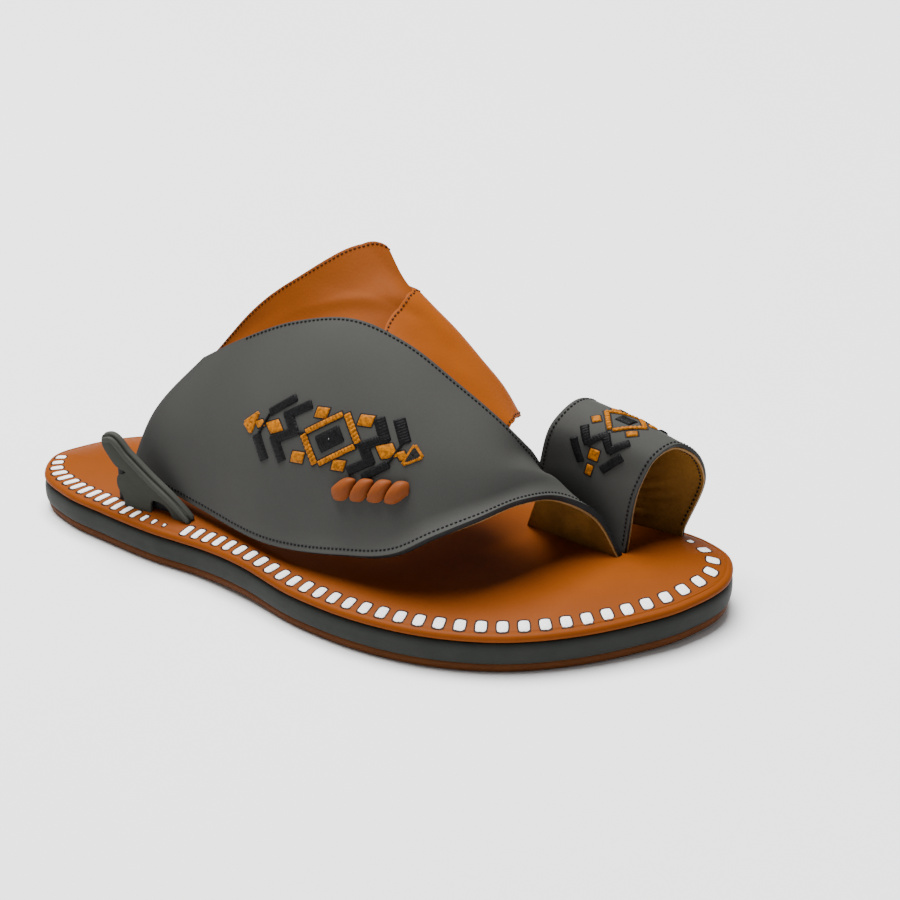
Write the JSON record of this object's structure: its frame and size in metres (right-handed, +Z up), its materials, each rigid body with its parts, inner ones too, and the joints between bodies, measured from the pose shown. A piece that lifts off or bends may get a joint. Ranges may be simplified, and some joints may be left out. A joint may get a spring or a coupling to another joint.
{
  "type": "sandal",
  "caption": "Arabic leather sandal for the right foot: laced padded footbed on a layered sole, crossed instep straps under a wide embroidered side panel, and a big toe loop",
  "frame": {"origin": "on the floor, under the middle of the sandal's bounding box", "axes": "+X to the toe, +Y to the inner (big toe) side, +Z up"},
  "size_m": [0.2904, 0.1196, 0.1284],
  "materials": {
    "outsole": "matt brown rubber",
    "midsole": "satin dark grey foam rubber",
    "insole": "smooth satin tan leather over padding",
    "straps": "smooth satin tan leather",
    "face": "matt grey nubuck",
    "toe_loop": "matt grey nubuck",
    "side_tab": "matt dark grey leather",
    "beads": "glossy twisted tan leather"
  },
  "bodies": {
    "root": {"outsole": "outsole", "midsole": "midsole", "insole": "insole", "instep_straps": "straps", "face": "face", "toe_loop": "toe_loop", "side_tab": "side_tab", "bead_1": "beads", "bead_2": "beads", "bead_3": "beads", "bead_4": "beads"}
  },
  "joints": []
}
